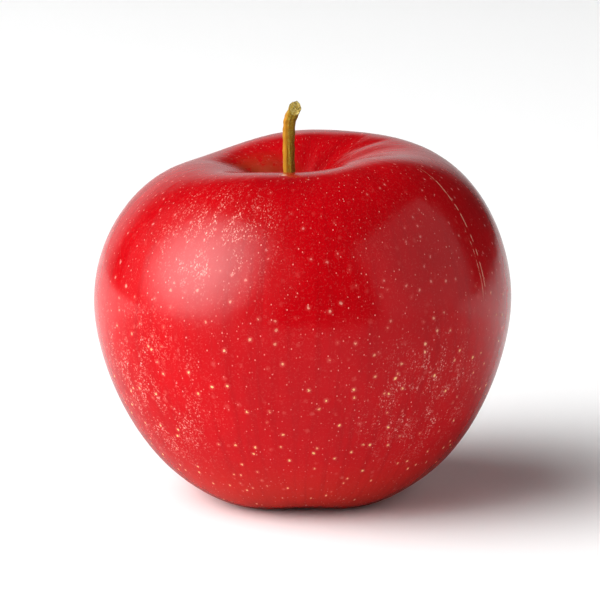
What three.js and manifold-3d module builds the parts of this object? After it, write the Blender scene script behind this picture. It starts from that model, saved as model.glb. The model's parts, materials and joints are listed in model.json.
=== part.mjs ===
// A whole red apple with its stalk, standing on the lobes of its base.
// Millimetres, +Z up. The origin is on the resting surface, under the middle of the fruit.
// +X is to the right of the apple's best side and +Y is away from it.
import * as THREE from "three";
import { mergeVertices } from "three/addons/utils/BufferGeometryUtils.js";
import Module from "manifold-3d";

const wasm = await Module();
wasm.setup();

// ---- Driving dimensions of the fruit ----
const BELLY_RADIUS = 40;
const BELLY_HEIGHT = 38.5;
const CREST_RADIUS = 18.7; // ring of the highest points, round the stem cavity
const CREST_HEIGHT = 66.25;
const CAVITY_DEPTH = 13;
const FOOT_RADIUS = 14.2; // ring that the fruit rests on, round the calyx basin
const FOOT_RISE = 0.15; // mean height of that ring over the surface
const BASIN_DEPTH = 9.5;

// How far the outline runs level or upright at each of its stations before it bends away.
const FOOT_SPREAD = 15.5;
const BELLY_DROP = 13.4;
const BELLY_CLIMB = 12.8;
const CREST_SPREAD = 13;
const CREST_LIP = 13.3;
const BASIN_SHARE = 0.45; // of the foot radius

const SEGMENTS = 72;
const OUTLINE_STEPS = { basin: 7, lower: 10, upper: 10, cavity: 9 };

// ---- Uneven growth ----
// Each swell lifts the crown by height × cos(count × (azimuth − turn)).
const CROWN_SWELLS = [
  { count: 1, height: 1.6, turn: 27 },
  { count: 2, height: 0.55, turn: 85 },
  { count: 3, height: 0.37, turn: -37 },
  { count: 5, height: 0.2, turn: 32 },
];
const FOOT_LOBES = { count: 5, height: 0.4, turn: 17.4 };
const OVAL = { share: 0.02, turn: 45 }; // the girth is a little oval
const CROWN_DRIFT = new THREE.Vector2(0, 0.6); // the crown sits a little off the belly's middle
const FOOT_DRIFT = new THREE.Vector2(0.3, 2.0);
const CAVITY_DRIFT = new THREE.Vector2(-1.8, 0.2);
// Two creases run out of the cavity over the crest. Each lies along its azimuth, offset to one side, and
// deepens between start and full and dies away between fade and end.
const CREASES = [
  { turn: 22, offset: 3.6, depth: 0.55, width: 2.0, start: 6, full: 11, fade: 13, end: 21 },
  { turn: 180, offset: -4.6, depth: 0.6, width: 2.6, start: 5, full: 9, fade: 13, end: 21 },
];

// ---- Stalk ----
// Centre line from the root in the flesh to past the slanting cut, with the radius at each point.
const STALK = [
  { x: -1.6, y: 0.5, z: 50.0, r: 1.6 },
  { x: -1.9, y: 0.4, z: 55.0, r: 1.3 },
  { x: -2.3, y: 0.25, z: 60.5, r: 1.12 },
  { x: -2.6, y: 0.1, z: 66.0, r: 1.12 },
  { x: -2.5, y: 0.0, z: 70.2, r: 1.16 },
  { x: -1.95, y: -0.1, z: 72.7, r: 1.2 },
  { x: -1.25, y: -0.2, z: 75.2, r: 1.32 },
  { x: -0.6, y: -0.3, z: 77.6, r: 1.42 },
];
const STALK_SIDES = 14;
const STALK_STEPS = 22;
const CUT_POINT = new THREE.Vector3(-1.1, -0.2, 75.1);
const CUT_FACING = new THREE.Vector3(0.38, -0.7, 0.6).normalize();
const SEAT_GAP = 0.3;
const SOCKET_TOP = 62; // clear of the flesh, so that the socket opens into the cavity

// ---- Dried flower parts in the basin ----
const SEPAL = {
  count: 5,
  length: 6.5,
  halfWidth: 1.5,
  halfThickness: 0.3,
  rootRadius: 2.2,
  rootDrop: 0.9, // from the basin floor to the middle of the root
  curl: 95, // degrees that the blade turns outwards from root to tip
  sides: 10,
  steps: 10,
};
const TUFT = { radius: 1.1, length: 2.6, ribs: 5, ribShare: 0.14, sides: 20 };

const degrees = THREE.MathUtils.degToRad;
const ease = THREE.MathUtils.smoothstep;

// ---- Meshes and solids ----

// Keeps only positions and shares the vertices along seams, so that the surface is closed.
function welded(geometry) {
  const bare = geometry.clone();
  bare.deleteAttribute("normal");
  bare.deleteAttribute("uv");
  return mergeVertices(bare, 1e-3);
}

function toSolid(geometry) {
  const closed = welded(geometry);
  const mesh = new wasm.Mesh({
    numProp: 3,
    vertProperties: closed.attributes.position.array,
    triVerts: new Uint32Array(closed.index.array),
  });
  return new wasm.Manifold(mesh);
}

function toGeometry(solid) {
  const mesh = solid.getMesh();
  const geometry = new THREE.BufferGeometry();
  geometry.setAttribute("position", new THREE.BufferAttribute(mesh.vertProperties, mesh.numProp));
  geometry.setIndex(new THREE.BufferAttribute(mesh.triVerts, 1));
  geometry.computeVertexNormals();
  return geometry;
}

// Calls move(point) on every vertex and writes back what it left in the point.
function moveVertices(geometry, move) {
  const position = geometry.getAttribute("position");
  const point = new THREE.Vector3();
  for (let i = 0; i < position.count; i += 1) {
    point.fromBufferAttribute(position, i);
    move(point);
    position.setXYZ(i, point.x, point.y, point.z);
  }
  position.needsUpdate = true;
  return geometry;
}

// Spins a profile of (radius, height) points about +Z.
function spin(profile, sides) {
  return welded(new THREE.LatheGeometry(profile, sides).rotateX(Math.PI / 2));
}

// A block whose top face passes through a point, facing the given way.
function blockBelow(point, facing, side) {
  const block = new THREE.BoxGeometry(side, side, side).translate(0, 0, -side / 2);
  const turn = new THREE.Quaternion().setFromUnitVectors(new THREE.Vector3(0, 0, 1), facing);
  return toSolid(block.applyQuaternion(turn).translate(point.x, point.y, point.z));
}

// ---- Fruit ----

function fruitProfile() {
  const station = (radius, height) => new THREE.Vector2(radius, height);
  const crest = CREST_HEIGHT;
  const floor = CREST_HEIGHT - CAVITY_DEPTH;
  const basin = FOOT_RISE + BASIN_DEPTH;
  const basinReach = BASIN_SHARE * FOOT_RADIUS;
  const parts = [
    [
      OUTLINE_STEPS.basin,
      station(0, basin),
      station(basinReach, basin),
      station(FOOT_RADIUS - basinReach, FOOT_RISE),
      station(FOOT_RADIUS, FOOT_RISE),
    ],
    [
      OUTLINE_STEPS.lower,
      station(FOOT_RADIUS, FOOT_RISE),
      station(FOOT_RADIUS + FOOT_SPREAD, FOOT_RISE),
      station(BELLY_RADIUS, BELLY_HEIGHT - BELLY_DROP),
      station(BELLY_RADIUS, BELLY_HEIGHT),
    ],
    [
      OUTLINE_STEPS.upper,
      station(BELLY_RADIUS, BELLY_HEIGHT),
      station(BELLY_RADIUS, BELLY_HEIGHT + BELLY_CLIMB),
      station(CREST_RADIUS + CREST_SPREAD, crest),
      station(CREST_RADIUS, crest),
    ],
    [
      OUTLINE_STEPS.cavity,
      station(CREST_RADIUS, crest),
      station(CREST_RADIUS - CREST_LIP, crest),
      station(3, floor + 2),
      station(0, floor),
    ],
  ];
  const profile = parts.flatMap(([steps, ...ends]) =>
    new THREE.CubicBezierCurve(...ends).getPoints(steps).slice(0, -1),
  );
  profile.push(station(0, floor));
  return profile;
}

// The uneven growth: swells of the crown, lobes of the foot, an oval girth, drifts and creases.
function growUnevenly(point) {
  const radius = Math.hypot(point.x, point.y);
  const azimuth = Math.atan2(point.y, point.x);
  const height = point.z;
  const towardsCrown = ease(height, BELLY_HEIGHT, CREST_HEIGHT);
  const towardsFoot = 1 - ease(height, FOOT_RISE, BELLY_HEIGHT);

  const swells = CROWN_SWELLS.map(
    (s) => s.height * Math.cos(s.count * (azimuth - degrees(s.turn))),
  );
  const swell = swells.reduce((sum, lift) => sum + lift, 0);
  point.z += swell * towardsCrown * ease(radius, 0, 0.8 * CREST_RADIUS);

  const lobe = Math.cos(FOOT_LOBES.count * (azimuth - degrees(FOOT_LOBES.turn)));
  point.z -= FOOT_LOBES.height * lobe * towardsFoot * ease(radius, 0, FOOT_RADIUS);

  const girth = 1 + OVAL.share * Math.cos(2 * (azimuth - degrees(OVAL.turn)));
  const cavityShare = height > BELLY_HEIGHT ? 1 - ease(radius, 0, CREST_RADIUS) : 0;
  const drift = new THREE.Vector2()
    .addScaledVector(CROWN_DRIFT, towardsCrown)
    .addScaledVector(FOOT_DRIFT, towardsFoot)
    .addScaledVector(CAVITY_DRIFT, cavityShare);
  point.x = radius * girth * Math.cos(azimuth) + drift.x;
  point.y = radius * girth * Math.sin(azimuth) + drift.y;

  const onCrown = ease(height, BELLY_HEIGHT + 8, CREST_HEIGHT - 6);
  for (const crease of CREASES) {
    const cos = Math.cos(degrees(crease.turn));
    const sin = Math.sin(degrees(crease.turn));
    const along = point.x * cos + point.y * sin;
    const off = point.y * cos - point.x * sin - crease.offset;
    const reach = ease(along, crease.start, crease.full) * (1 - ease(along, crease.fade, crease.end));
    point.z -= crease.depth * reach * Math.exp(-((off / crease.width) ** 2)) * onCrown;
  }
}

function fruitGeometry() {
  const skin = moveVertices(spin(fruitProfile(), SEGMENTS), growUnevenly);
  const surface = blockBelow(new THREE.Vector3(0, 0, 0), new THREE.Vector3(0, 0, 1), 120);
  const socket = toSolid(stalkGeometry(SEAT_GAP, STALK[0].z - SEAT_GAP, SOCKET_TOP));
  return toGeometry(toSolid(skin).subtract(surface).subtract(socket));
}

// ---- Stalk ----

// A peg that follows the stalk's centre line from one height to another.
function stalkGeometry(extraRadius, bottom, top) {
  const heights = STALK.map((p) => p.z);
  const line = new THREE.CatmullRomCurve3(STALK.map((p) => new THREE.Vector3(p.x, p.y, p.r)));
  const at = (height) => {
    const above = heights.findIndex((h) => h >= height);
    const next = above < 0 ? heights.length - 1 : Math.max(above, 1);
    const share = (height - heights[next - 1]) / (heights[next] - heights[next - 1]);
    const place = (next - 1 + THREE.MathUtils.clamp(share, 0, 1)) / (heights.length - 1);
    return line.getPoint(place);
  };
  const profile = [new THREE.Vector2(0, bottom)];
  for (let step = 0; step <= STALK_STEPS; step += 1) {
    const height = THREE.MathUtils.lerp(bottom, top, step / STALK_STEPS);
    profile.push(new THREE.Vector2(at(height).z + extraRadius, height));
  }
  profile.push(new THREE.Vector2(0, top));
  return moveVertices(spin(profile, STALK_SIDES), (point) => {
    const centre = at(point.z);
    point.x += centre.x;
    point.y += centre.y;
  });
}

function stemGeometry() {
  const peg = toSolid(stalkGeometry(0, STALK[0].z, STALK.at(-1).z));
  const offcut = blockBelow(CUT_POINT, CUT_FACING.clone().negate(), 20);
  return toGeometry(peg.subtract(offcut));
}

// ---- Dried flower parts ----

// A flattened spindle that hangs from its root and curls outwards to its tip.
function sepalGeometry() {
  const profile = [];
  for (let step = 0; step <= SEPAL.steps; step += 1) {
    const down = 1 - step / SEPAL.steps;
    const fullness = step % SEPAL.steps ? Math.sin(Math.PI * down ** 0.7) : 0;
    profile.push(new THREE.Vector2(fullness, -SEPAL.length * down));
  }
  const blade = spin(profile, SEPAL.sides).scale(SEPAL.halfThickness, SEPAL.halfWidth, 1);
  const bendRadius = SEPAL.length / degrees(SEPAL.curl);
  return moveVertices(blade, (point) => {
    const angle = -point.z / bendRadius;
    const reach = bendRadius - point.x;
    point.z = -reach * Math.sin(angle);
    point.x = bendRadius - reach * Math.cos(angle);
  });
}

// The withered stamens and styles, one ribbed tuft pointing down.
function tuftGeometry() {
  const { radius, length } = TUFT;
  const profile = [
    new THREE.Vector2(0, -length),
    new THREE.Vector2(0.55 * radius, -0.9 * length),
    new THREE.Vector2(0.75 * radius, -0.6 * length),
    new THREE.Vector2(radius, -0.2 * length),
    new THREE.Vector2(0.9 * radius, 0),
    new THREE.Vector2(0, 0),
  ];
  return moveVertices(spin(profile, TUFT.sides), (point) => {
    const rib = 1 + TUFT.ribShare * Math.cos(TUFT.ribs * Math.atan2(point.y, point.x));
    point.x *= rib;
    point.y *= rib;
  });
}

// ---- Assembly ----

function material(color, roughness) {
  return new THREE.MeshStandardMaterial({ color, roughness, metalness: 0 });
}

function part(name, geometry, finish) {
  const mesh = new THREE.Mesh(geometry, finish);
  mesh.name = name;
  return mesh;
}

function flowerRemains() {
  const dried = material("#4a3218", 0.85);
  const remains = new THREE.Group();
  remains.position.set(FOOT_DRIFT.x, FOOT_DRIFT.y, FOOT_RISE + BASIN_DEPTH);
  const tuft = part("stamen_tuft", tuftGeometry(), material("#3a2815", 0.9));
  tuft.position.z = -SEAT_GAP;
  remains.add(tuft);
  for (let i = 0; i < SEPAL.count; i += 1) {
    const sepal = part(`sepal_${i + 1}`, sepalGeometry(), dried);
    const azimuth = degrees(FOOT_LOBES.turn + (360 * i) / SEPAL.count);
    sepal.position.set(
      SEPAL.rootRadius * Math.cos(azimuth),
      SEPAL.rootRadius * Math.sin(azimuth),
      -SEPAL.rootDrop,
    );
    sepal.rotation.z = azimuth;
    remains.add(sepal);
  }
  return remains;
}

const apple = new THREE.Group();
apple.add(part("fruit", fruitGeometry(), material("#b0141a", 0.35)));
apple.add(part("stem", stemGeometry(), material("#8a6414", 0.75)));
apple.add(flowerRemains());

export default apple;
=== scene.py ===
# %% [markdown]
# # A whole red apple
# This lesson builds one apple in Blender round a plain solid model of it. The solid model settles the size
# and the place of each piece: the fruit, its woody stalk, and the dried flower parts in the hollow
# underneath. Here each piece is made again with a fine surface, and then each gets a finish of its own.
# Everything is in metres, with +Z up and the origin on the surface that the apple stands on.

# %% Load the solid model
import json
import math

import bpy
import numpy as np
from mathutils import Matrix, Vector

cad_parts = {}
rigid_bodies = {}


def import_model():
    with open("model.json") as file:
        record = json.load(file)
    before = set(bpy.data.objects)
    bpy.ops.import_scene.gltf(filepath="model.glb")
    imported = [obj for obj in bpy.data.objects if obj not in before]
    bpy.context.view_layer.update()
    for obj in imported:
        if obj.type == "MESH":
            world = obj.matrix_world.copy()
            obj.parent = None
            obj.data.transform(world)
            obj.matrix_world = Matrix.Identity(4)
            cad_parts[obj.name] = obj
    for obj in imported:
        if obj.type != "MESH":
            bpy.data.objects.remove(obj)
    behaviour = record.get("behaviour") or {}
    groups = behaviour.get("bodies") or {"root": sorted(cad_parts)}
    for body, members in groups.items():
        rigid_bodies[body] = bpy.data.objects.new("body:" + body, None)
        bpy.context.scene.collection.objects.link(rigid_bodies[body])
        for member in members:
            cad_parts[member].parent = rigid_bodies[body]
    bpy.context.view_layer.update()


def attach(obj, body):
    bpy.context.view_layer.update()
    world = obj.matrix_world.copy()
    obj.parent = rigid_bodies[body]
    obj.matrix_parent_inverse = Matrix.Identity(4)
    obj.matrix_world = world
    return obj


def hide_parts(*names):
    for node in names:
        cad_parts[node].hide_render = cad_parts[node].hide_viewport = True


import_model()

MM = 0.001

# %% [markdown]
# Modelling operators act on whatever is selected, so each piece starts from an empty selection. A shape that
# no operator makes directly, such as the uneven swelling of a fruit, is made by moving the mesh's points
# with a formula. Numpy does that to all of them at once, in millimetres, which keeps the numbers easy to
# picture.

# %% Helpers that the pieces share
def start_fresh():
    """Leaves edit mode and deselects everything."""
    if bpy.context.object and bpy.context.object.mode != "OBJECT":
        bpy.ops.object.mode_set(mode="OBJECT")
    bpy.ops.object.select_all(action="DESELECT")


def newest(name):
    """Names the object that the last operator added."""
    piece = bpy.context.object
    piece.name = name
    piece.data.name = name
    return piece


def points_of(piece):
    flat = np.empty(len(piece.data.vertices) * 3)
    piece.data.vertices.foreach_get("co", flat)
    return flat.reshape(-1, 3) / MM


def move_points(piece, move):
    """Replaces the piece's points, in millimetres, by what move makes of them."""
    moved = move(points_of(piece)) * MM
    piece.data.vertices.foreach_set("co", moved.ravel())
    piece.data.update()


def settle(piece):
    """Puts the piece's place into its mesh, so that the object sits at the origin, unturned and unscaled."""
    start_fresh()
    piece.select_set(True)
    bpy.context.view_layer.objects.active = piece
    bpy.ops.object.transform_apply(location=True, rotation=True, scale=True)


def apply_modifiers(piece):
    start_fresh()
    piece.select_set(True)
    bpy.context.view_layer.objects.active = piece
    for modifier in list(piece.modifiers):
        bpy.ops.object.modifier_apply(modifier=modifier.name)


def report(piece):
    low, high = points_of(piece).min(0), points_of(piece).max(0)
    print(f"{piece.name}: {len(piece.data.polygons)} faces, mm {low.round(1)} to {high.round(1)}")


def ease(x, low, high):
    """Runs smoothly from 0 at low to 1 at high."""
    share = np.clip((x - low) / (high - low), 0, 1)
    return share * share * (3 - 2 * share)


# %% [markdown]
# ## The fruit
# An apple is close to a turned shape: its outline dips at the stalk, swells to the belly and tucks in to a
# smaller base. So the outline is drawn once, as a Bezier curve of five stations, and spun about the upright
# axis. A sphere pushed in at both ends would do too, but its poles pinch and its belly comes out round,
# which an apple's isn't.

# %% The outline and its driving sizes
BELLY_RADIUS = 40
BELLY_HEIGHT = 38.5
CREST_RADIUS = 18.7
CREST_HEIGHT = 66.25
CAVITY_DEPTH = 13
FOOT_RADIUS = 14.2
FOOT_RISE = 0.15
BASIN_DEPTH = 9.5
FOOT_SPREAD = 15.5
BELLY_DROP = 13.4
BELLY_CLIMB = 12.8
CREST_SPREAD = 13
CREST_LIP = 13.3
BASIN_REACH = 0.45 * FOOT_RADIUS
CAVITY_FLOOR = CREST_HEIGHT - CAVITY_DEPTH
BASIN_TOP = FOOT_RISE + BASIN_DEPTH

# Each station is (radius, height), with the handle before it and the handle after it as offsets.
OUTLINE = [
    ((0, BASIN_TOP), (0, 0), (BASIN_REACH, 0)),
    ((FOOT_RADIUS, FOOT_RISE), (-BASIN_REACH, 0), (FOOT_SPREAD, 0)),
    ((BELLY_RADIUS, BELLY_HEIGHT), (0, -BELLY_DROP), (0, BELLY_CLIMB)),
    ((CREST_RADIUS, CREST_HEIGHT), (CREST_SPREAD, 0), (-CREST_LIP, 0)),
    ((0, CAVITY_FLOOR), (3, 2), (0, 0)),
]
STEPS_PER_SPAN = 36
SPIN_STEPS = 256


def outline_curve():
    start_fresh()
    bpy.ops.curve.primitive_bezier_curve_add()
    outline = newest("apple_flesh_and_skin")
    spline = outline.data.splines[0]
    spline.bezier_points.add(len(OUTLINE) - len(spline.bezier_points))
    for point, (place, before, after) in zip(spline.bezier_points, OUTLINE):
        point.handle_left_type = point.handle_right_type = "FREE"
        place = Vector((place[0], 0, place[1])) * MM
        point.co = place
        point.handle_left = place + Vector((before[0], 0, before[1])) * MM
        point.handle_right = place + Vector((after[0], 0, after[1])) * MM
    outline.data.resolution_u = STEPS_PER_SPAN
    return outline


def spun_fruit():
    outline_curve()
    bpy.ops.object.convert(target="MESH")
    fruit = bpy.context.object
    bpy.ops.object.mode_set(mode="EDIT")
    bpy.ops.mesh.select_all(action="SELECT")
    bpy.ops.mesh.spin(steps=SPIN_STEPS, angle=2 * math.pi, center=(0, 0, 0), axis=(0, 0, 1))
    bpy.ops.mesh.select_all(action="SELECT")
    bpy.ops.mesh.remove_doubles(threshold=0.005 * MM)
    bpy.ops.mesh.normals_make_consistent(inside=False)
    bpy.ops.object.mode_set(mode="OBJECT")
    return fruit


fruit = spun_fruit()
report(fruit)

# %% [markdown]
# No apple is truly turned. One shoulder stands higher, the girth is slightly oval, the base has five lobes,
# and creases run out of the stem cavity. Each of these is one smooth term in a formula, weighted so that it
# fades out where it shouldn't act. Proportional editing could do the same by hand, but a formula can be read
# and adjusted.

# %% Uneven growth
# Swells of the crown: how many lobes round it, their lift and their azimuth.
CROWN_SWELLS = [(1, 1.6, 27), (2, 0.55, 85), (3, 0.37, -37), (5, 0.2, 32)]
FOOT_LOBES, FOOT_LOBE_HEIGHT, FOOT_LOBE_TURN = 5, 0.4, 17.4
OVAL_SHARE, OVAL_TURN = 0.02, 45
CROWN_DRIFT = np.array([0, 0.6])
FOOT_DRIFT = np.array([0.3, 2.0])
CAVITY_DRIFT = np.array([-1.8, 0.2])
# Creases over the crest: azimuth, offset, depth, width, and the reach where each starts, is full, fades and
# ends.
CREASES = [(22, 3.6, 0.55, 2.0, 6, 11, 13, 21), (180, -4.6, 0.6, 2.6, 5, 9, 13, 21)]
# Folds down the cavity wall: azimuth and half-width in degrees, and depth. A ridge has a depth under zero.
CAVITY_FOLDS = [(49, 10, 0.9), (92, 13, -0.35), (150, 12, 0.35), (215, 14, 0.3), (300, 12, 0.3)]


def waves(azimuth, count, height, turn):
    return height * np.cos(count * (azimuth - math.radians(turn)))


def grow_unevenly(points):
    x, y, z = points.T
    radius = np.hypot(x, y)
    azimuth = np.arctan2(y, x)
    to_crown = ease(z, BELLY_HEIGHT, CREST_HEIGHT)
    to_foot = 1 - ease(z, FOOT_RISE, BELLY_HEIGHT)

    lift = sum(waves(azimuth, *swell) for swell in CROWN_SWELLS)
    height = z + lift * to_crown * ease(radius, 0, 0.8 * CREST_RADIUS)
    lobes = waves(azimuth, FOOT_LOBES, FOOT_LOBE_HEIGHT, FOOT_LOBE_TURN)
    height -= lobes * to_foot * ease(radius, 0, FOOT_RADIUS)

    girth = radius * (1 + waves(azimuth, 2, OVAL_SHARE, OVAL_TURN))
    in_cavity = (z > BELLY_HEIGHT) * (1 - ease(radius, 0, CREST_RADIUS))
    drifts = ((to_crown, CROWN_DRIFT), (to_foot, FOOT_DRIFT), (in_cavity, CAVITY_DRIFT))
    drift = sum(np.outer(weight, shift) for weight, shift in drifts)
    across = girth * np.cos(azimuth) + drift[:, 0]
    away = girth * np.sin(azimuth) + drift[:, 1]

    on_crown = ease(z, BELLY_HEIGHT + 8, CREST_HEIGHT - 6)
    for turn, offset, depth, width, start, full, fade, end in CREASES:
        cos, sin = math.cos(math.radians(turn)), math.sin(math.radians(turn))
        along, off = across * cos + away * sin, away * cos - across * sin - offset
        reach = ease(along, start, full) * (1 - ease(along, fade, end))
        height -= depth * reach * np.exp(-((off / width) ** 2)) * on_crown

    on_wall = (z > BELLY_HEIGHT) * ease(radius, 2, 7) * (1 - ease(radius, 12, 20))
    for turn, width, depth in CAVITY_FOLDS:
        off = np.degrees(np.angle(np.exp(1j * (azimuth - math.radians(turn)))))
        height -= depth * on_wall * np.exp(-((off / width) ** 2))
    return np.column_stack([across, away, height])


move_points(fruit, grow_unevenly)
report(fruit)

# %% [markdown]
# The lobes of the base reach a little below the surface that the apple stands on. Lifting every point under
# it back onto it presses them into the small flat spots that the fruit rests on. A bisect would cut the same
# spots, but the many-sided faces that fill them would shade badly.

# %% Flat spots under the lobes
def press_flat(points):
    points[:, 2] = np.maximum(points[:, 2], 0)
    return points


move_points(fruit, press_flat)
settle(fruit)
bpy.ops.object.shade_smooth()
report(fruit)

# %% [markdown]
# ## The stalk
# The stalk is a bent, woody peg, thickest where it joined the twig and where it enters the flesh. Starting
# from a disc in the flesh and extruding it from station to station, with a scale at each, is how it would be
# drawn by hand. A curve with a bevel would be quicker, but the section couldn't be changed so freely.

# %% Extrude the stalk along its centre line
# Centre (x, y, z) and radius at each station, from the root to past the cut.
STALK = [
    (-1.6, 0.5, 50.0, 1.6),
    (-2.0, 0.4, 55.0, 1.3),
    (-2.6, 0.25, 60.5, 1.08),
    (-2.75, 0.1, 66.0, 1.12),
    (-2.75, 0.0, 70.2, 1.16),
    (-2.65, -0.05, 72.6, 1.22),
    (-2.2, -0.1, 73.9, 1.28),
    (-1.4, -0.2, 75.4, 1.34),
    (-0.6, -0.3, 77.6, 1.42),
]
CUT_POINT = Vector((-1.1, -0.2, 74.9)) * MM
CUT_FACING = Vector((0.38, -0.7, 0.6)).normalized()


def extruded_stalk():
    start_fresh()
    x, y, z, radius = STALK[0]
    place = Vector((x, y, z)) * MM
    bpy.ops.mesh.primitive_circle_add(vertices=16, radius=radius * MM, fill_type="NGON", location=place)
    stalk = newest("woody_stalk")
    settle(stalk)
    bpy.ops.object.mode_set(mode="EDIT")
    bpy.ops.mesh.select_all(action="SELECT")
    for x, y, z, next_radius in STALK[1:]:
        step = Vector((x, y, z)) * MM - place
        place += step
        bpy.ops.mesh.extrude_region_move(TRANSFORM_OT_translate={"value": step})
        size = next_radius / radius
        bpy.ops.transform.resize(value=(size, size, size), center_override=place)
        radius = next_radius
    bpy.ops.mesh.select_all(action="SELECT")
    bpy.ops.mesh.normals_make_consistent(inside=False)
    bpy.ops.object.mode_set(mode="OBJECT")
    smooth = stalk.modifiers.new("round", "SUBSURF")
    smooth.levels = smooth.render_levels = 3
    apply_modifiers(stalk)
    return stalk


stem = extruded_stalk()
report(stem)

# %% [markdown]
# Fine ridges run along a dried stalk. They are real shape, so they are made by moving the points in and out
# from the centre line. Then the picker's slanting cut is a bisect with a filled face. Extruding that face in
# place, smaller each time, gives it rings of points to sink and roughen, so that the pith looks torn and not
# machined. The bisect's usual tolerance is 0.1 mm, coarser than these faces, and would fill some of them
# twice, so it is given a finer one. Subdivision numbers its points in a different order from run to run, so
# the same seed roughens different points, and the cut end comes out up to 0.1 mm different each time.

# %% Ridges, the slanting cut and the torn pith
# Each set of ridges: count, height, azimuth and twist per mm.
BARK_RIDGES = [(5, 0.05, 20, 0.0), (9, 0.03, 70, 0.35), (14, 0.018, 10, -0.6)]
PITH_RINGS = [0.94, 0.86, 0.74, 0.62, 0.5, 0.38, 0.26, 0.14]
PITH_SINK = 0.025
PITH_ROUGHNESS = 0.07
CUT_TOLERANCE = 0.0001


def stalk_centre(heights):
    stations = np.array(STALK)
    return np.column_stack([np.interp(heights, stations[:, 2], stations[:, axis]) for axis in (0, 1)])


def ridge_bark(points):
    out = points[:, :2] - stalk_centre(points[:, 2])
    azimuth = np.arctan2(out[:, 1], out[:, 0])
    swell = sum(
        height * np.cos(count * (azimuth - math.radians(turn)) + twist * points[:, 2])
        for count, height, turn, twist in BARK_RIDGES
    )
    knots = 0.05 * np.sin(points[:, 2] * 1.9 + 2 * azimuth) + 0.04 * np.sin(points[:, 2] * 4.3 - azimuth)
    stretch = 1 + (swell + knots)[:, None] / 1.2
    moved = points.copy()
    moved[:, :2] = stalk_centre(points[:, 2]) + out * stretch
    return moved


def cut_stalk(piece):
    start_fresh()
    bpy.context.view_layer.objects.active = piece
    piece.select_set(True)
    bpy.ops.object.mode_set(mode="EDIT")
    bpy.ops.mesh.select_all(action="SELECT")
    bpy.ops.mesh.bisect(
        plane_co=CUT_POINT, plane_no=CUT_FACING, clear_outer=True, use_fill=True, threshold=CUT_TOLERANCE * MM
    )
    bpy.ops.mesh.select_all(action="DESELECT")
    bpy.ops.object.mode_set(mode="OBJECT")
    cut = max(piece.data.polygons, key=lambda face: len(face.vertices))
    cut.select = True
    middle = cut.center.copy()
    bpy.ops.object.mode_set(mode="EDIT")
    size = 1
    for next_size in PITH_RINGS:
        bpy.ops.mesh.extrude_region_move(TRANSFORM_OT_translate={"value": -CUT_FACING * PITH_SINK * MM})
        ratio = next_size / size
        bpy.ops.transform.resize(value=(ratio, ratio, ratio), center_override=middle)
        size = next_size
    bpy.ops.mesh.poke()
    bpy.ops.mesh.select_more()
    for ring in PITH_RINGS[2:]:
        bpy.ops.mesh.select_more()
    bpy.ops.transform.vertex_random(offset=PITH_ROUGHNESS * MM, uniform=0.6, seed=4)
    bpy.ops.object.mode_set(mode="OBJECT")
    piece.data.materials.append(None)
    piece.data.materials.append(None)
    for face in piece.data.polygons:
        face.material_index = int(face.select)
    bpy.ops.object.shade_smooth_by_angle(angle=math.radians(40))


move_points(stem, ridge_bark)
cut_stalk(stem)
settle(stem)
report(stem)

# %% [markdown]
# ## The dried flower
# Under every apple the five sepals of the flower stay on, dry and curled, round a tuft of withered stamens.
# A sepal starts as a small grid, is drawn to a point and curled outwards by one formula, and is given its
# thickness by Solidify. One function makes all five, each with its own mesh and a slightly different curl.

# %% Sepals
FLOWER_AT = Vector((FOOT_DRIFT[0], FOOT_DRIFT[1], BASIN_TOP)) * MM
SEPAL_COUNT = 5
SEPAL_LENGTH = 6.5
SEPAL_HALF_WIDTH = 1.6
SEPAL_THICKNESS = 0.28
SEPAL_ROOT_RADIUS = 2.0
SEPAL_ROOT_DROP = 0.6
SEPAL_CURLS = [95, 110, 80, 100, 120]  # degrees from root to tip


def sepal(name, curl):
    start_fresh()
    bpy.ops.mesh.primitive_grid_add(x_subdivisions=12, y_subdivisions=20, size=1 * MM)
    blade = newest(name)
    radius = SEPAL_LENGTH / math.radians(curl)

    def shape(points):
        side, along = 2 * points[:, 0], np.clip(points[:, 1] + 0.5, 0, 1)
        width = SEPAL_HALF_WIDTH * (1 - along**2.2) ** 0.8 * (0.75 + 0.6 * along * (1 - along)) + 0.02
        cup = 0.5 * side**2 * (1 - 0.6 * along)
        crinkle = 0.09 * np.sin(9 * along + 4 * side) * np.cos(3 * side) * ease(along, 0.1, 0.4)
        out = radius - cup - crinkle
        angle = along * math.radians(curl)
        return np.column_stack([radius - out * np.cos(angle), side * width, -out * np.sin(angle)])

    move_points(blade, shape)
    wall = blade.modifiers.new("thickness", "SOLIDIFY")
    wall.thickness = SEPAL_THICKNESS * MM
    wall.offset = 0
    smooth = blade.modifiers.new("round", "SUBSURF")
    smooth.levels = smooth.render_levels = 1
    apply_modifiers(blade)
    bpy.ops.object.shade_smooth()
    return blade


def sepals():
    ring = []
    for i, curl in enumerate(SEPAL_CURLS):
        blade = sepal(f"dried_sepal_{i + 1}", curl)
        turn = math.radians(FOOT_LOBE_TURN + 360 * i / SEPAL_COUNT)
        out = Vector((SEPAL_ROOT_RADIUS, 0, -SEPAL_ROOT_DROP)) * MM
        place = Matrix.Translation(FLOWER_AT) @ Matrix.Rotation(turn, 4, "Z")
        blade.data.transform(place @ Matrix.Translation(out))
        ring.append(blade)
    return ring


sepal_ring = sepals()
for blade in sepal_ring:
    report(blade)

# %% Stamens and styles
TUFT_LENGTH = 2.6
FILAMENTS = 16


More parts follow.
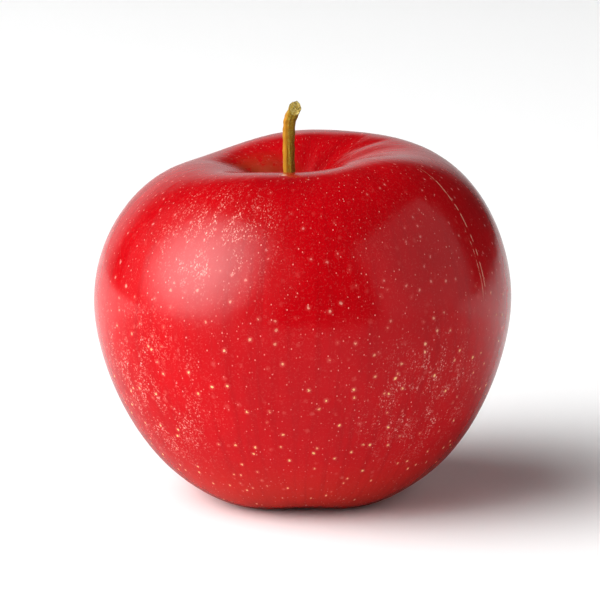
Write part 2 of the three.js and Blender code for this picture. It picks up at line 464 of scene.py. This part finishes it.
def stamen_tuft():
    chance = np.random.default_rng(11)
    start_fresh()
    bpy.ops.mesh.primitive_uv_sphere_add(segments=16, ring_count=10, radius=0.8 * MM, location=FLOWER_AT)
    tuft = newest("withered_stamens")
    tuft.scale.z = 0.7
    threads = [tuft]
    for i in range(FILAMENTS):
        turn = 2 * math.pi * i / FILAMENTS + chance.uniform(-0.15, 0.15)
        lean = chance.uniform(0.05, 0.45)
        length = TUFT_LENGTH * chance.uniform(0.75, 1.0) * MM
        down = Vector((math.sin(lean) * math.cos(turn), math.sin(lean) * math.sin(turn), -math.cos(lean)))
        root = FLOWER_AT + Vector((math.cos(turn), math.sin(turn), 0)) * chance.uniform(0.2, 0.75) * MM
        facing = down.to_track_quat("Z", "Y").to_euler()
        middle = root + down * length / 2
        bpy.ops.mesh.primitive_cone_add(
            vertices=6, radius1=0.14 * MM, radius2=0.06 * MM, depth=length, location=middle, rotation=facing
        )
        threads.append(bpy.context.object)
        bpy.ops.mesh.primitive_ico_sphere_add(subdivisions=1, radius=0.17 * MM, location=root + down * length)
        threads.append(bpy.context.object)
    start_fresh()
    for thread in threads:
        thread.select_set(True)
    bpy.context.view_layer.objects.active = tuft
    bpy.ops.object.join()
    settle(tuft)
    bpy.ops.object.shade_smooth_by_angle(angle=math.radians(50))
    return tuft


tuft = stamen_tuft()
report(tuft)

# %% [markdown]
# ## Finishes
# Colours are written as sRGB hex, the way a colour picker shows them, and one function turns them to the
# linear values that the shaders need. One other function adds a node with its settings and its links. A link
# may come from a node, which means its first output in use, or from a node and the name of an output.

# %% Colour and node helpers
def colour(hex_text, alpha=1.0):
    channels = [int(hex_text[i : i + 2], 16) / 255 for i in (1, 3, 5)]
    linear = [c / 12.92 if c <= 0.04045 else ((c + 0.055) / 1.055) ** 2.4 for c in channels]
    return (*linear, alpha)


def add(tree, kind, inputs=None, **settings):
    """Adds a node of a kind, sets its properties, and fills or links its inputs by name or number."""
    node = tree.nodes.new(kind)
    for name, value in settings.items():
        setattr(node, name, value)
    for key, value in (inputs or {}).items():
        shown = [s for s in node.inputs if s.enabled]
        socket = shown[key] if isinstance(key, int) else next(s for s in shown if s.name == key)
        if isinstance(value, tuple) and value and isinstance(value[0], bpy.types.Node):
            tree.links.new(value[0].outputs[value[1]], socket)
        elif isinstance(value, bpy.types.Node):
            tree.links.new(next(o for o in value.outputs if o.enabled), socket)
        else:
            socket.default_value = value
    return node


def new_material(name):
    material = bpy.data.materials.new(name)
    material.use_nodes = True
    material.node_tree.nodes.clear()
    return material, material.node_tree


def finish_material(tree, inputs):
    """Ends a material with one Principled shader."""
    shader = add(tree, "ShaderNodeBsdfPrincipled", inputs)
    add(tree, "ShaderNodeOutputMaterial", {"Surface": shader})


# %% [markdown]
# ### Apple skin
# Apple skin is a thin, waxed layer over pale flesh. Its red isn't a paint: it is a pigment that gathers in
# streaks from stalk to base, broken by pale breathing spots, the lenticels, and by a fine frost of flecks.
# All of these follow the meridians, so the patterns use a wrapped position: the direction round the axis,
# and the angle up or down from the fruit's heart, both as millimetres along the surface. That stretches
# nothing at the belly and draws the marks in towards both ends, as growth does.

# %% Position on the skin
HEART_HEIGHT = 33.0
SKIN_RADIUS = 40.0


def skin_position(tree):
    """Nodes for the wrapped and plain positions, the height and the distance from the axis, in mm."""
    point = add(tree, "ShaderNodeTexCoord")
    plain = add(tree, "ShaderNodeVectorMath", {0: (point, "Object"), "Scale": 1 / MM}, operation="SCALE")
    level = add(tree, "ShaderNodeVectorMath", {0: plain, 1: (1, 1, 0)}, operation="MULTIPLY")
    radius = add(tree, "ShaderNodeVectorMath", {0: level}, operation="LENGTH")
    outward = add(tree, "ShaderNodeVectorMath", {0: level}, operation="NORMALIZE")
    height = add(tree, "ShaderNodeSeparateXYZ", {0: plain})
    rise = add(tree, "ShaderNodeMath", {0: (height, "Z"), 1: HEART_HEIGHT}, operation="SUBTRACT")
    polar = add(tree, "ShaderNodeMath", {0: rise, 1: radius}, operation="ARCTAN2")
    along = add(tree, "ShaderNodeMath", {0: polar, 1: SKIN_RADIUS}, operation="MULTIPLY")
    upright = add(tree, "ShaderNodeCombineXYZ", {"Z": along})
    wrapped = add(
        tree,
        "ShaderNodeVectorMath",
        {0: outward, 1: (SKIN_RADIUS,) * 3, 2: upright},
        operation="MULTIPLY_ADD",
    )
    return wrapped, plain, height, radius


def fade(tree, value, low, high, start=0.0, end=1.0):
    """A smooth ramp of a value: start at low and before it, end at high and past it."""
    return add(
        tree,
        "ShaderNodeMapRange",
        {"Value": value, "From Min": low, "From Max": high, "To Min": start, "To Max": end},
        interpolation_type="SMOOTHSTEP",
    )


def blended(tree, share, under, over):
    return add(tree, "ShaderNodeMix", {"Factor": share, "A": under, "B": over}, data_type="RGBA")


def product(tree, first, second):
    return add(tree, "ShaderNodeMath", {0: first, 1: second}, operation="MULTIPLY")


# %% Marks on the skin
def spots(tree, position, spacing, radius, stretch=1.0):
    """Spots stretched along the meridians: a share, 1 at their cores and 0 outside, and the cells' node."""
    squeezed = add(tree, "ShaderNodeVectorMath", {0: position, 1: (1, 1, 1 / stretch)}, operation="MULTIPLY")
    cells = add(tree, "ShaderNodeTexVoronoi", {"Vector": squeezed, "Scale": 1 / spacing})
    edge = radius / spacing
    return fade(tree, (cells, "Distance"), edge, 0.5 * edge), cells


def patches(tree, position, size, low, high, detail=2.0):
    """A cloudy share: 0 where the clouds are thinner than low, 1 where they are thicker than high."""
    clouds = add(
        tree,
        "ShaderNodeTexNoise",
        {"Vector": position, "Scale": 1 / size, "Detail": detail, "Roughness": 0.55},
    )
    return fade(tree, clouds, low, high)


def squiggles(tree, position, size, thickness):
    """Short curled strokes: the contour lines of a noise, broken up by another."""
    hills = add(tree, "ShaderNodeTexNoise", {"Vector": position, "Scale": 1 / size, "Detail": 1.0})
    from_middle = add(tree, "ShaderNodeMath", {0: hills, 1: 0.5}, operation="SUBTRACT")
    distance = add(tree, "ShaderNodeMath", {0: from_middle}, operation="ABSOLUTE")
    strokes = fade(tree, distance, thickness, 0.4 * thickness)
    return product(tree, strokes, patches(tree, position, 0.42, 0.46, 0.58))


def near(tree, plain, place, reach):
    """A share that is 1 at a place, in mm, and falls to 0 at the reach from it."""
    distance = add(tree, "ShaderNodeVectorMath", {0: plain, 1: place}, operation="DISTANCE")
    return fade(tree, distance, reach, 0.1 * reach)


def most(tree, *shares):
    """The largest of some shares."""
    largest = shares[0]
    for share in shares[1:]:
        largest = add(tree, "ShaderNodeMath", {0: largest, 1: share}, operation="MAXIMUM")
    return largest


WANDER_SIZE, WANDER_REACH = 4.0, 0.8


def meridian_line(tree, plain, height, azimuth, offset, top, bottom, half_width):
    """A wandering hairline down one meridian, between two heights, fading at both ends."""
    turn = math.radians(azimuth)
    sideways = (-math.sin(turn), math.cos(turn), 0)
    outwards = (math.cos(turn), math.sin(turn), 0)
    across = add(tree, "ShaderNodeVectorMath", {0: plain, 1: sideways}, operation="DOT_PRODUCT")
    facing = add(tree, "ShaderNodeVectorMath", {0: plain, 1: outwards}, operation="DOT_PRODUCT")
    wander = add(tree, "ShaderNodeTexNoise", {"Vector": plain, "Scale": 1 / WANDER_SIZE, "Detail": 3.0})
    bend = {0: wander, 1: WANDER_REACH, 2: offset - WANDER_REACH / 2}
    middle = add(tree, "ShaderNodeMath", bend, operation="MULTIPLY_ADD")
    off = add(tree, "ShaderNodeMath", {0: across, 1: middle}, operation="SUBTRACT")
    distance = add(tree, "ShaderNodeMath", {0: off}, operation="ABSOLUTE")
    line = fade(tree, distance, half_width, 0.3 * half_width)
    line = product(tree, line, fade(tree, (height, "Z"), bottom - 2, bottom + 2))
    line = product(tree, line, fade(tree, (height, "Z"), top + 1, top - 4))
    return product(tree, line, fade(tree, facing, 0, 1))


# %% Skin material
DEEP_RED = colour("#a40008")
BRIGHT_RED = colour("#c3020d")
WINE_RED = colour("#840108")
WARM_RED = colour("#c4301e")
PINK_FROST = colour("#e06a62")
PALE_PINK = colour("#f8b4a6")
LENTICEL_YELLOW = colour("#f4d27c")
SCAR_TAN = colour("#e0b090")
# Russet brown, made dark enough that it is also painted shade in the stem cavity.
RUSSET_AND_CAVITY_SHADE = colour("#8a3012")
GROUND_YELLOW = colour("#b98a34")

LENTICEL_SPACING, LENTICEL_RADIUS = 2.6, 0.34  # mm; most of the spots' seeds lie off the surface
SPECK_SPACING, SPECK_RADIUS = 0.95, 0.15
SQUIGGLE_SIZE, SQUIGGLE_THICKNESS = 0.85, 0.045
DUST_SPACING, DUST_RADIUS = 0.66, 0.18
# Places, in mm, where the skin is finely crazed, each with its reach.
CRAZED = [
    ((-30, -24, 25), 22),
    ((24, -29, 25), 18),
    ((-15, -28, 54), 15),
    ((20, 26, 40), 20),
    ((-30, 20, 34), 18),
]
SCAR_AZIMUTH = -29.1
# Each scar: offset from the azimuth, top, bottom and half width.
SCARS = [(0.0, 66, 44, 0.16), (-1.0, 56, 43, 0.11)]
RUB_MARK, RUB_REACH = (-3.6, -18.9, 65.6), 0.8
# The russet patch in the stem cavity is also painted shade in the hollow.
RUSSET_AND_SHADE_AT, RUSSET_AND_SHADE_REACH = (-8, 4, 59), 11
BASIN_AT, BASIN_SHADE_REACH = (0.3, 2, 9), 13
JITTER_SIZE, JITTER_SHARE = 0.4, 0.5
PORE_SIZE, DIMPLE_SIZE, WAX_PATCH_SIZE = 0.35, 3.0, 5
SKIN_RELIEF = 0.02
WAX_ROUGHNESS = (0.15, 0.2)
WAX_IOR = 1.45


def skin_red(tree, wrapped, height):
    """The pigment: deeper towards the crown that the sun reached, cloudy, and combed along the meridians."""
    clouds = patches(tree, wrapped, 18, 0.35, 0.7)
    lower = fade(tree, (height, "Z"), 64, 22)
    cloudy = product(tree, clouds, 0.3)
    thin = add(tree, "ShaderNodeMath", {0: lower, 1: 0.7, 2: cloudy}, operation="MULTIPLY_ADD")
    red = blended(tree, thin, DEEP_RED, BRIGHT_RED)
    red = blended(tree, fade(tree, (height, "Z"), 16, 0, 0.0, 0.6), red, WARM_RED)
    combed = add(tree, "ShaderNodeVectorMath", {0: wrapped, 1: (1, 1, 0.06)}, operation="MULTIPLY")
    streaks = patches(tree, combed, 1.6, 0.45, 0.8, detail=4.0)
    red = blended(tree, product(tree, streaks, 0.3), red, WINE_RED)
    strokes = add(tree, "ShaderNodeVectorMath", {0: wrapped, 1: (1, 1, 0.3)}, operation="MULTIPLY")
    mottle = patches(tree, strokes, 0.8, 0.5, 0.85, detail=3.0)
    return blended(tree, product(tree, mottle, 0.015), red, PINK_FROST), combed


def waxed_apple_skin():
    material, tree = new_material("waxed_apple_skin")
    wrapped, plain, height, radius = skin_position(tree)
    red, combed = skin_red(tree, wrapped, height)

    # The position is shaken a little, so that no spot comes out as a perfect disc.
    jitter = add(tree, "ShaderNodeTexNoise", {"Vector": wrapped, "Scale": 1 / JITTER_SIZE, "Detail": 1.0})
    offset = add(tree, "ShaderNodeVectorMath", {0: (jitter, "Color"), 1: (0.5,) * 3}, operation="SUBTRACT")
    shake = {0: offset, 1: (JITTER_SHARE,) * 3, 2: wrapped}
    shaken = add(tree, "ShaderNodeVectorMath", shake, operation="MULTIPLY_ADD")

    crazed_zones = most(tree, *[near(tree, plain, place, reach) for place, reach in CRAZED])
    bands = add(tree, "ShaderNodeVectorMath", {0: wrapped, 1: (1, 1, 0.35)}, operation="MULTIPLY")
    drifts = product(tree, patches(tree, bands, 2.2, 0.4, 0.62), patches(tree, wrapped, 6, 0.3, 0.52))
    crazed = product(tree, crazed_zones, drifts)
    squiggle = squiggles(tree, shaken, SQUIGGLE_SIZE, SQUIGGLE_THICKNESS)
    squiggle_strength = add(tree, "ShaderNodeMath", {0: crazed, 1: 0.6, 2: 0.03}, operation="MULTIPLY_ADD")
    red = blended(tree, product(tree, crazed, 0.05), red, PINK_FROST)
    red = blended(tree, product(tree, squiggle, squiggle_strength), red, PALE_PINK)
    dust, _ = spots(tree, wrapped, DUST_SPACING, DUST_RADIUS, 1.4)
    red = blended(tree, product(tree, dust, product(tree, crazed, 0.95)), red, PALE_PINK)

    speck, speck_cells = spots(tree, wrapped, SPECK_SPACING, SPECK_RADIUS, 1.3)
    chance = add(tree, "ShaderNodeSeparateColor", {0: (speck_cells, "Color")})
    speck_strength = add(tree, "ShaderNodeMath", {0: chance, 1: 0.55, 2: 0.05}, operation="MULTIPLY_ADD")
    near_crazing = {0: crazed_zones, 1: 0.3, 2: speck_strength}
    speck_strength = add(tree, "ShaderNodeMath", near_crazing, operation="MULTIPLY_ADD")
    red = blended(tree, product(tree, speck, speck_strength), red, PALE_PINK)

    core, cells = spots(tree, shaken, LENTICEL_SPACING, LENTICEL_RADIUS)
    halo = fade(tree, (cells, "Distance"), 0.8 / LENTICEL_SPACING, 0.25 / LENTICEL_SPACING)
    low_down = fade(tree, (height, "Z"), 54, 26)
    on_face = fade(tree, radius, 14, 24, 0.25, 1.0)
    low_down = product(tree, low_down, on_face)
    core_strength = add(tree, "ShaderNodeMath", {0: low_down, 1: 0.65, 2: 0.28}, operation="MULTIPLY_ADD")
    spot_chance = add(tree, "ShaderNodeSeparateColor", {0: (cells, "Color")})
    spot_chance = fade(tree, spot_chance, 0.0, 0.6, 0.5, 1.0)
    core_strength = product(tree, core_strength, product(tree, spot_chance, on_face))
    spot_colour = blended(tree, low_down, PALE_PINK, LENTICEL_YELLOW)
    red = blended(tree, product(tree, halo, product(tree, core_strength, 0.36)), red, PINK_FROST)
    red = blended(tree, product(tree, core, core_strength), red, spot_colour)

    lines = [meridian_line(tree, plain, height, SCAR_AZIMUTH, *scar) for scar in SCARS]
    scars = product(tree, most(tree, *lines), patches(tree, plain, 1.2, 0.35, 0.6))
    scars = product(tree, scars, fade(tree, radius, 17, 21))
    red = blended(tree, product(tree, scars, 0.9), red, SCAR_TAN)
    rub = near(tree, plain, RUB_MARK, RUB_REACH)
    red = blended(tree, rub, red, SCAR_TAN)

    # Russet brown in the stem cavity, made dark enough that it is also painted shade in the hollow.
    russet_and_shade = near(tree, plain, RUSSET_AND_SHADE_AT, RUSSET_AND_SHADE_REACH)
    russet_and_shade = product(tree, russet_and_shade, patches(tree, plain, 2.0, 0.28, 0.52, detail=4.0))
    red = blended(tree, russet_and_shade, red, RUSSET_AND_CAVITY_SHADE)
    ground = near(tree, plain, BASIN_AT, BASIN_SHADE_REACH)
    ground = product(tree, ground, patches(tree, combed, 2.5, 0.3, 0.6))
    red = blended(tree, ground, red, GROUND_YELLOW)

    pores = add(tree, "ShaderNodeTexNoise", {"Vector": wrapped, "Scale": 1 / PORE_SIZE, "Detail": 2.0})
    dimples = add(tree, "ShaderNodeTexNoise", {"Vector": wrapped, "Scale": 1 / DIMPLE_SIZE, "Detail": 1.0})
    fine = product(tree, pores, 0.2)
    relief = add(tree, "ShaderNodeMath", {0: dimples, 1: 2.5, 2: fine}, operation="MULTIPLY_ADD")
    relief = add(tree, "ShaderNodeMath", {0: relief, 1: product(tree, core, 0.4)}, operation="ADD")
    relief = add(tree, "ShaderNodeMath", {0: relief, 1: product(tree, scars, 0.8)}, operation="SUBTRACT")
    bump = add(tree, "ShaderNodeBump", {"Strength": 1.0, "Distance": SKIN_RELIEF * MM, "Height": relief})
    wax = add(tree, "ShaderNodeTexNoise", {"Vector": wrapped, "Scale": 1 / WAX_PATCH_SIZE})
    wax = fade(tree, wax, 0.3, 0.7, *WAX_ROUGHNESS)
    dulled = most(tree, core, scars, russet_and_shade, ground)
    roughness = add(tree, "ShaderNodeMath", {0: dulled, 1: 0.3, 2: wax}, operation="MULTIPLY_ADD")
    finish_material(tree, {"Base Color": red, "Roughness": roughness, "IOR": WAX_IOR, "Normal": bump})
    return material


# %% [markdown]
# ### Stalk, cut pith and dried flower
# The stalk is green wood turning brown: corky flecks over an olive bark, with painted light on its left side,
# which is coloured lighter and warmer where the big soft light falls. Its cut end shows pale, dry pith with
# dark open vessels. The flower parts are dead leaf tissue, dull and fibrous.

# %% Stalk, pith and dried flower materials
BARK_OLIVE, BARK_TAN = colour("#7e6407"), colour("#9c7807")
# The first colour on the next line is painted light: the lighter, warmer bark of the left side that faces the
# big soft light.
BARK_LIT_SIDE, BARK_DARK, CORK = colour("#b87808"), colour("#6a4804"), colour("#a09a34")
PITH_GOLD, PITH_PALE, VESSEL_BROWN = colour("#dcb83c"), colour("#ffeb96"), colour("#7a5c0a")


def stalk_bark():
    material, tree = new_material("stalk_bark")
    point = add(tree, "ShaderNodeTexCoord")
    plain = add(tree, "ShaderNodeVectorMath", {0: (point, "Object"), "Scale": 1 / MM}, operation="SCALE")
    fibres = add(tree, "ShaderNodeVectorMath", {0: plain, 1: (1, 1, 0.12)}, operation="MULTIPLY")
    grain = patches(tree, fibres, 0.5, 0.35, 0.7, detail=4.0)
    bark = blended(tree, grain, BARK_OLIVE, BARK_TAN)
    place = add(tree, "ShaderNodeSeparateXYZ", {0: plain})
    # The left side, which faces the big soft light, is painted lighter and warmer: painted light.
    lit_side = fade(tree, (place, "X"), -2.0, -3.4)
    bark = blended(tree, product(tree, lit_side, 0.7), bark, BARK_LIT_SIDE)
    cork = product(tree, patches(tree, plain, 0.26, 0.47, 0.62), fade(tree, (place, "X"), -3.3, -2.6))
    bark = blended(tree, product(tree, cork, 0.75), bark, CORK)
    dark = patches(tree, fibres, 0.35, 0.58, 0.75, detail=3.0)
    bark = blended(tree, product(tree, dark, 0.6), bark, BARK_DARK)
    height = add(tree, "ShaderNodeMath", {0: grain, 1: cork}, operation="ADD")
    bump = add(tree, "ShaderNodeBump", {"Strength": 1.0, "Distance": 0.06 * MM, "Height": height})
    finish_material(tree, {"Base Color": bark, "Roughness": 0.8, "IOR": 1.4, "Normal": bump})
    return material


def cut_pith():
    material, tree = new_material("cut_pith")
    point = add(tree, "ShaderNodeTexCoord")
    plain = add(tree, "ShaderNodeVectorMath", {0: (point, "Object"), "Scale": 1 / MM}, operation="SCALE")
    crumbs = patches(tree, plain, 0.32, 0.42, 0.6, detail=3.0)
    pith = blended(tree, crumbs, PITH_GOLD, PITH_PALE)
    vessels, _ = spots(tree, plain, 0.55, 0.2)
    pith = blended(tree, product(tree, vessels, 0.75), pith, VESSEL_BROWN)
    relief = add(tree, "ShaderNodeMath", {0: crumbs, 1: vessels}, operation="SUBTRACT")
    bump = add(tree, "ShaderNodeBump", {"Strength": 1.0, "Distance": 0.12 * MM, "Height": relief})
    finish_material(tree, {"Base Color": pith, "Roughness": 0.8, "IOR": 1.5, "Normal": bump})
    return material


def dried_leaf(name, dark, light):
    material, tree = new_material(name)
    point = add(tree, "ShaderNodeTexCoord")
    plain = add(tree, "ShaderNodeVectorMath", {0: (point, "Object"), "Scale": 1 / MM}, operation="SCALE")
    veins = patches(tree, plain, 0.6, 0.35, 0.7, detail=5.0)
    tissue = blended(tree, veins, colour(dark), colour(light))
    bump = add(tree, "ShaderNodeBump", {"Strength": 1.0, "Distance": 0.08 * MM, "Height": veins})
    finish_material(tree, {"Base Color": tissue, "Roughness": 0.82, "IOR": 1.45, "Normal": bump})
    return material


# %% Dress the pieces and tie them to the solid model
def dress(piece, node, slot, *materials):
    for index, material in enumerate(materials):
        if index < len(piece.data.materials):
            piece.data.materials[index] = material
        else:
            piece.data.materials.append(material)
    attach(piece, "root")
    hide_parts(node)


dress(fruit, "fruit", "skin", waxed_apple_skin())
dress(stem, "stem", "stalk", stalk_bark(), cut_pith())
sepal_finish = dried_leaf("dried_sepal", "#3a2410", "#7a5a30")
for i, blade in enumerate(sepal_ring):
    dress(blade, f"sepal_{i + 1}", "dried_sepal", sepal_finish)
dress(tuft, "stamen_tuft", "dried_stamens", dried_leaf("dried_stamens", "#241708", "#5a3f1e"))

# %% [markdown]
# ## Studio
# A product shot of a shiny fruit is mostly a picture of what the fruit reflects. A big soft light on the
# left makes the broad highlight, and it is brightest at its middle, so its glow falls off smoothly towards
# its edges. A weaker one on the right lifts the dark side, and a low glow behind gives the pale rims. Two
# fills raise the shadows on the left and right: they light the skin but don't show in its shine. White paper
# would wash out the red where the skin mirrors it, so reflections see the paper as grey, darker in front of
# the fruit than behind it.

# %% Floor and surroundings
FLOOR_SIZE = 4
PAPER_WHITE = colour("#fafafa")
FRONT_GREY = colour("#787878")
BACK_GREY = colour("#e0e0e0")


def floor():
    start_fresh()
    bpy.ops.mesh.primitive_plane_add(size=FLOOR_SIZE)
    plane = newest("studio_floor")
    material, tree = new_material("pale_paper")
    point = add(tree, "ShaderNodeTexCoord")
    place = add(tree, "ShaderNodeSeparateXYZ", {0: (point, "Object")})
    cards = blended(tree, fade(tree, (place, "Y"), -0.03, 0.12), FRONT_GREY, BACK_GREY)
    path = add(tree, "ShaderNodeLightPath")
    paper = blended(tree, (path, "Is Glossy Ray"), PAPER_WHITE, cards)
    finish_material(tree, {"Base Color": paper, "Roughness": 0.9})
    plane.data.materials.append(material)


BACKDROP_WAY = (-0.21, 0.98, 0)
BACKDROP_GLOW, WALL_GLOW = 0.5, 0.02


def surroundings():
    world = bpy.data.worlds.new("studio_walls")
    world.use_nodes = True
    tree = world.node_tree
    tree.nodes.clear()
    point = add(tree, "ShaderNodeTexCoord")
    way = add(tree, "ShaderNodeSeparateXYZ", {0: (point, "Generated")})
    ways = {0: (point, "Generated"), 1: BACKDROP_WAY}
    facing = add(tree, "ShaderNodeVectorMath", ways, operation="DOT_PRODUCT")
    behind = fade(tree, facing, 0.8, 0.95)
    low = fade(tree, (way, "Z"), 0.6, 0.25)
    brightness = {0: product(tree, behind, low), 1: BACKDROP_GLOW, 2: WALL_GLOW}
    glow = add(tree, "ShaderNodeMath", brightness, operation="MULTIPLY_ADD")
    walls = add(tree, "ShaderNodeBackground", {"Color": colour("#ffffff"), "Strength": glow})
    plain = add(tree, "ShaderNodeBackground", {"Color": PAPER_WHITE, "Strength": 1.0})
    path = add(tree, "ShaderNodeLightPath")
    seen = add(tree, "ShaderNodeMixShader", {0: (path, "Is Camera Ray"), 1: walls, 2: plain})
    add(tree, "ShaderNodeOutputWorld", {"Surface": seen})
    bpy.context.scene.world = world


EDGE_GLOW = 0.035


def soften(light, hot_share):
    """Makes a light brightest in its middle, falling off to the edge glow over a share of its half width."""
    light.use_nodes = True
    tree = light.node_tree
    tree.nodes.clear()
    place = add(tree, "ShaderNodeNewGeometry")
    corner = (place, "Parametric")
    middle = add(tree, "ShaderNodeVectorMath", {0: corner, 1: (0.5, 0.5, 0)}, operation="SUBTRACT")
    spread = add(tree, "ShaderNodeVectorMath", {0: middle, 1: (2, 1, 0)}, operation="MULTIPLY")
    distance = add(tree, "ShaderNodeVectorMath", {0: spread}, operation="LENGTH")
    glow = fade(tree, distance, hot_share, 0, EDGE_GLOW, 1)
    emission = add(tree, "ShaderNodeEmission", {"Strength": glow})
    add(tree, "ShaderNodeOutputLight", {"Surface": emission})


def softbox(name, azimuth, elevation, half_wide, half_high, radiance, distance):
    """A soft light at an azimuth to the right of the camera's side, facing the fruit's heart. Its half angles
    are as the fruit sees them."""
    turn, tilt = math.radians(azimuth), math.radians(elevation)
    way = Vector((math.sin(turn) * math.cos(tilt), -math.cos(turn) * math.cos(tilt), math.sin(tilt)))
    width = 2 * distance * math.tan(math.radians(half_wide))
    height = 2 * distance * math.tan(math.radians(half_high))
    light = bpy.data.lights.new(name, "AREA")
    light.shape = "RECTANGLE"
    light.size, light.size_y = width, height
    light.energy = radiance * math.pi * width * height
    box = bpy.data.objects.new(name, light)
    box.location = Vector((0, 0, HEART_HEIGHT * MM)) + way * distance
    box.rotation_euler = way.to_track_quat("Z", "Y").to_euler()
    box.visible_camera = False
    bpy.context.collection.objects.link(box)
    return box


# %% Lights
# Each light: azimuth, elevation, half width and half height in degrees, radiance, and distance in metres.
LEFT_LIGHT = (-65, 31, 55, 35, 6.4, 3.0)
LEFT_HOT_SHARE = 0.65
RIGHT_LIGHT = (77, 18, 31, 35, 0.36, 2.8)
FILLS = {"left_fill": (-80, 45, 32, 32, 2.1, 2.8), "right_fill": (78, 15, 32, 32, 0.42, 2.8)}

floor()
surroundings()
key = softbox("left_softbox", *LEFT_LIGHT)
soften(key.data, LEFT_HOT_SHARE)
softbox("right_softbox", *RIGHT_LIGHT)
for name, setting in FILLS.items():
    fill = softbox(name, *setting)
    fill.visible_glossy = False

# %% Camera
CAMERA_ELEVATION = 11.6
CAMERA_DISTANCE = 0.65
CAMERA_LENS = 202.7
CAMERA_AIM = Vector((-0.6, 0.6, 37.9)) * MM


def camera():
    tilt = math.radians(CAMERA_ELEVATION)
    back = Vector((0, -math.cos(tilt), math.sin(tilt)))
    data = bpy.data.cameras.new("camera")
    data.lens = CAMERA_LENS
    data.clip_start = 0.01
    view = bpy.data.objects.new("camera", data)
    view.location = CAMERA_AIM + back * CAMERA_DISTANCE
    view.rotation_euler = back.to_track_quat("Z", "Y").to_euler()
    bpy.context.collection.objects.link(view)
    bpy.context.scene.camera = view


camera()
bpy.context.scene.view_settings.view_transform = "Standard"
